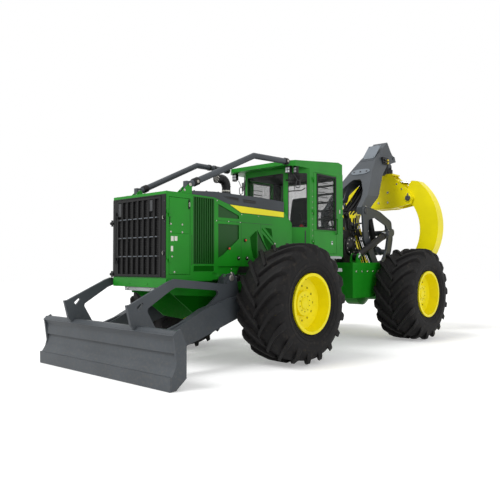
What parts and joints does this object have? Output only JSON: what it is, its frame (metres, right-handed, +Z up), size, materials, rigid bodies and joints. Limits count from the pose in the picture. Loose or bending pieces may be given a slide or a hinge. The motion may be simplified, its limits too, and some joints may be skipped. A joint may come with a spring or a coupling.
{
  "type": "grapple skidder",
  "caption": "Articulated forestry grapple skidder with front blade, closed cab, tilting arch, boom and hanging log grapple.",
  "frame": {"origin": "on the ground under the middle of the machine's length and width", "axes": "+X to the machine's left, +Y to its rear, +Z up"},
  "size_m": [3.255, 7.733, 4.125],
  "materials": {
    "trim_black": "satin",
    "engine_grey": "matte",
    "tinted_glass": "clear",
    "machine_green": "satin",
    "frame_grey": "satin",
    "light_grey": "satin",
    "cab_plastic": "matte",
    "seat_fabric": "matte",
    "bright_rod": "polished",
    "tyre_rubber": "matte",
    "wheel_yellow": "satin"
  },
  "bodies": {
    "front": {"front_frame": "machine_green", "front_axle": "trim_black", "engine_block": "engine_grey", "cooler": "trim_black", "nose_frame": "machine_green", "side_panels": "machine_green", "hood_top": "frame_grey", "intake_stack": "trim_black", "cab_mounts": "machine_green", "cab_shell": "machine_green", "cab_glass": "tinted_glass", "cab_roof": "machine_green", "cab_seat": "seat_fabric", "cab_console": "cab_plastic", "brush_guards": "frame_grey", "roof_lamps": "trim_black", "mirrors": "trim_black", "cab_steps": "light_grey"},
    "wheel_fl": {"tyre_fl": "tyre_rubber", "rim_fl": "wheel_yellow"},
    "wheel_fr": {"tyre_fr": "tyre_rubber", "rim_fr": "wheel_yellow"},
    "wheel_rl": {"tyre_rl": "tyre_rubber", "rim_rl": "wheel_yellow"},
    "wheel_rr": {"tyre_rr": "tyre_rubber", "rim_rr": "wheel_yellow"},
    "grille": {"grille_door": "trim_black"},
    "nose_door_l": {"side_door_l": "machine_green"},
    "nose_door_r": {"side_door_r": "machine_green"},
    "entry_door_l": {"cab_door_l": "machine_green", "door_glass_l": "tinted_glass"},
    "entry_door_r": {"cab_door_r": "machine_green", "door_glass_r": "tinted_glass"},
    "blade_body": {"blade": "frame_grey"},
    "rear": {"rear_frame": "machine_green", "rear_axle": "trim_black", "winch": "trim_black"},
    "arch_body": {"arch": "frame_grey"},
    "boom_body": {"boom": "frame_grey"},
    "lift_barrels_body": {"lift_barrels": "trim_black"},
    "lift_rods_body": {"lift_rods": "bright_rod"},
    "arch_barrels_body": {"arch_barrels": "trim_black"},
    "arch_rods_body": {"arch_rods": "bright_rod"},
    "boom_barrels_body": {"boom_barrels": "trim_black"},
    "boom_rods_body": {"boom_rods": "bright_rod"},
    "steer_barrel_l_body": {"steer_barrel_l": "trim_black"},
    "steer_barrel_r_body": {"steer_barrel_r": "trim_black"},
    "steer_rod_l_body": {"steer_rod_l": "bright_rod"},
    "steer_rod_r_body": {"steer_rod_r": "bright_rod"},
    "tong_barrel_l_body": {"tong_barrel_l": "wheel_yellow"},
    "tong_barrel_r_body": {"tong_barrel_r": "wheel_yellow"},
    "tong_rod_l_body": {"tong_rod_l": "bright_rod"},
    "tong_rod_r_body": {"tong_rod_r": "bright_rod"},
    "tong_l_body": {"tong_l": "wheel_yellow"},
    "tong_r_body": {"tong_r": "wheel_yellow"},
    "crosshead_body": {"crosshead": "trim_black"},
    "rotator_body": {"rotator": "trim_black"},
    "head_body": {"grapple_head": "wheel_yellow"}
  },
  "joints": [
    {"name": "wheel_fl_spin", "type": "hinge", "parent": "front", "child": "wheel_fl", "pos_m": [1.24, -1.3095, 0.87], "axis": [1, 0, 0], "continuous": true},
    {"name": "wheel_fr_spin", "type": "hinge", "parent": "front", "child": "wheel_fr", "pos_m": [-1.24, -1.3095, 0.87], "axis": [1, 0, 0], "continuous": true},
    {"name": "wheel_rl_spin", "type": "hinge", "parent": "rear", "child": "wheel_rl", "pos_m": [1.24, 2.3905, 0.87], "axis": [1, 0, 0], "continuous": true},
    {"name": "wheel_rr_spin", "type": "hinge", "parent": "rear", "child": "wheel_rr", "pos_m": [-1.24, 2.3905, 0.87], "axis": [1, 0, 0], "continuous": true},
    {"name": "steering", "type": "hinge", "parent": "front", "child": "rear", "pos_m": [0, 0.5905, 0.9], "axis": [0, 0, 1], "range_deg": [-45, 45]},
    {"name": "blade_lift", "type": "hinge", "parent": "front", "child": "blade_body", "pos_m": [0, -1.8295, 0.86], "axis": [1, 0, 0], "range_deg": [-17, 7]},
    {"name": "grille_swing", "type": "hinge", "parent": "front", "child": "grille", "pos_m": [-0.505, -3.1765, 1.8], "axis": [0, 0, -1], "range_deg": [0, 110]},
    {"name": "nose_door_l_swing", "type": "hinge", "parent": "front", "child": "nose_door_l", "pos_m": [0.607, -3.1025, 1.8], "axis": [0, 0, -1], "range_deg": [0, 100]},
    {"name": "cab_door_l_swing", "type": "hinge", "parent": "front", "child": "entry_door_l", "pos_m": [0.762, -0.1295, 2.3], "axis": [0, 0, -1], "range_deg": [0, 85]},
    {"name": "nose_door_r_swing", "type": "hinge", "parent": "front", "child": "nose_door_r", "pos_m": [-0.607, -3.1025, 1.8], "axis": [0, 0, 1], "range_deg": [0, 100]},
    {"name": "cab_door_r_swing", "type": "hinge", "parent": "front", "child": "entry_door_r", "pos_m": [-0.762, -0.1295, 2.3], "axis": [0, 0, 1], "range_deg": [0, 85]},
    {"name": "lift_ram_barrel_swing", "type": "hinge", "parent": "front", "child": "lift_barrels_body", "pos_m": [0, -1.0995, 1.215], "axis": [1, 0, 0], "range_deg": [-4.7, 2.2]},
    {"name": "lift_ram_rod_slide", "type": "slide", "parent": "lift_barrels_body", "child": "lift_rods_body", "axis": [0, -0.9998, 0.0204], "range_m": [-0.117, 0.049]},
    {"name": "arch_tilt", "type": "hinge", "parent": "rear", "child": "arch_body", "pos_m": [0, 2.4305, 1.25], "axis": [-1, 0, 0], "range_deg": [0, 35]},
    {"name": "boom_lift", "type": "hinge", "parent": "arch_body", "child": "boom_body", "pos_m": [0, 1.9455, 2.485], "axis": [1, 0, 0], "range_deg": [-14, 5]},
    {"name": "arch_ram_barrel_swing", "type": "hinge", "parent": "rear", "child": "arch_barrels_body", "pos_m": [0, 1.4465, 1.569], "axis": [1, 0, 0], "range_deg": [-14.1, 0.5]},
    {"name": "arch_ram_rod_slide", "type": "slide", "parent": "arch_barrels_body", "child": "arch_rods_body", "axis": [0, 0.9199, 0.392], "range_m": [-0.001, 0.372]},
    {"name": "boom_ram_barrel_swing", "type": "hinge", "parent": "arch_body", "child": "boom_barrels_body", "pos_m": [0, 2.6905, 1.74], "axis": [1, 0, 0], "range_deg": [-2.2, 1.1]},
    {"name": "boom_ram_rod_slide", "type": "slide", "parent": "boom_barrels_body", "child": "boom_rods_body", "axis": [0, -0.3243, 0.9459], "range_m": [-0.117, 0.043]},
    {"name": "steer_ram_l_barrel_swing", "type": "hinge", "parent": "front", "child": "steer_barrel_l_body", "pos_m": [0.26, -0.1595, 0.9], "axis": [0, 0, 1], "range_deg": [-4.5, 4.5]},
    {"name": "steer_ram_l_rod_slide", "type": "slide", "parent": "steer_barrel_l_body", "child": "steer_rod_l_body", "axis": [-0.0704, 0.9975, 0], "range_m": [-0.156, 0.156]},
    {"name": "steer_ram_r_barrel_swing", "type": "hinge", "parent": "front", "child": "steer_barrel_r_body", "pos_m": [-0.26, -0.1595, 0.9], "axis": [0, 0, 1], "range_deg": [-4.5, 4.5]},
    {"name": "steer_ram_r_rod_slide", "type": "slide", "parent": "steer_barrel_r_body", "child": "steer_rod_r_body", "axis": [0.0704, 0.9975, 0], "range_m": [-0.156, 0.156]},
    {"name": "crosshead_swing", "type": "hinge", "parent": "boom_body", "child": "crosshead_body", "pos_m": [0, 3.6905, 3.79], "axis": [-1, 0, 0], "range_deg": [-70, 5]},
    {"name": "side_swing", "type": "hinge", "parent": "crosshead_body", "child": "rotator_body", "pos_m": [0, 3.6905, 3.645], "axis": [0, 1, 0], "range_deg": [-15, 15]},
    {"name": "rotation", "type": "hinge", "parent": "rotator_body", "child": "head_body", "pos_m": [0, 3.6905, 3.5], "axis": [0, 0, 1], "range_deg": [-40, 40]},
    {"name": "tong_l_swing", "type": "hinge", "parent": "head_body", "child": "tong_l_body", "pos_m": [0.6, 3.6905, 2.87], "axis": [0, -1, 0], "range_deg": [-10, 47]},
    {"name": "tong_r_swing", "type": "hinge", "parent": "head_body", "child": "tong_r_body", "pos_m": [-0.6, 3.6905, 2.87], "axis": [0, 1, 0], "range_deg": [-10, 47]},
    {"name": "tong_ram_l_barrel_swing", "type": "hinge", "parent": "head_body", "child": "tong_barrel_l_body", "pos_m": [-0.11, 3.6185, 3.35], "axis": [0, -1, 0], "range_deg": [-4.9, 1.5]},
    {"name": "tong_ram_l_rod_slide", "type": "slide", "parent": "tong_barrel_l_body", "child": "tong_rod_l_body", "axis": [0.9775, 0, -0.2108], "range_m": [-0.254, 0.055]},
    {"name": "tong_ram_r_barrel_swing", "type": "hinge", "parent": "head_body", "child": "tong_barrel_r_body", "pos_m": [0.11, 3.7625, 3.35], "axis": [0, 1, 0], "range_deg": [-4.9, 1.5]},
    {"name": "tong_ram_r_rod_slide", "type": "slide", "parent": "tong_barrel_r_body", "child": "tong_rod_r_body", "axis": [-0.9775, 0, -0.2108], "range_m": [-0.254, 0.055]}
  ],
  "couplings": [
    {"joint": "lift_ram_barrel_swing", "follows": "blade_lift", "ratio": 0.2417},
    {"joint": "lift_ram_rod_slide", "follows": "blade_lift", "m_per_rad": 0.38775},
    {"joint": "arch_ram_barrel_swing", "follows": "arch_tilt", "ratio": -0.388},
    {"joint": "arch_ram_rod_slide", "follows": "arch_tilt", "m_per_rad": 0.6066},
    {"joint": "boom_ram_barrel_swing", "follows": "boom_lift", "ratio": 0.11885},
    {"joint": "boom_ram_rod_slide", "follows": "boom_lift", "m_per_rad": 0.47343},
    {"joint": "steer_ram_l_barrel_swing", "follows": "steering", "ratio": 0.08685},
    {"joint": "steer_ram_l_rod_slide", "follows": "steering", "m_per_rad": 0.19664},
    {"joint": "steer_ram_r_barrel_swing", "follows": "steering", "ratio": 0.08685},
    {"joint": "steer_ram_r_rod_slide", "follows": "steering", "m_per_rad": -0.19664},
    {"joint": "tong_r_swing", "follows": "tong_l_swing", "ratio": 1},
    {"joint": "tong_ram_l_barrel_swing", "follows": "tong_l_swing", "ratio": -0.09307},
    {"joint": "tong_ram_l_rod_slide", "follows": "tong_l_swing", "m_per_rad": -0.30747},
    {"joint": "tong_ram_r_barrel_swing", "follows": "tong_l_swing", "ratio": -0.09307},
    {"joint": "tong_ram_r_rod_slide", "follows": "tong_l_swing", "m_per_rad": -0.30747}
  ]
}
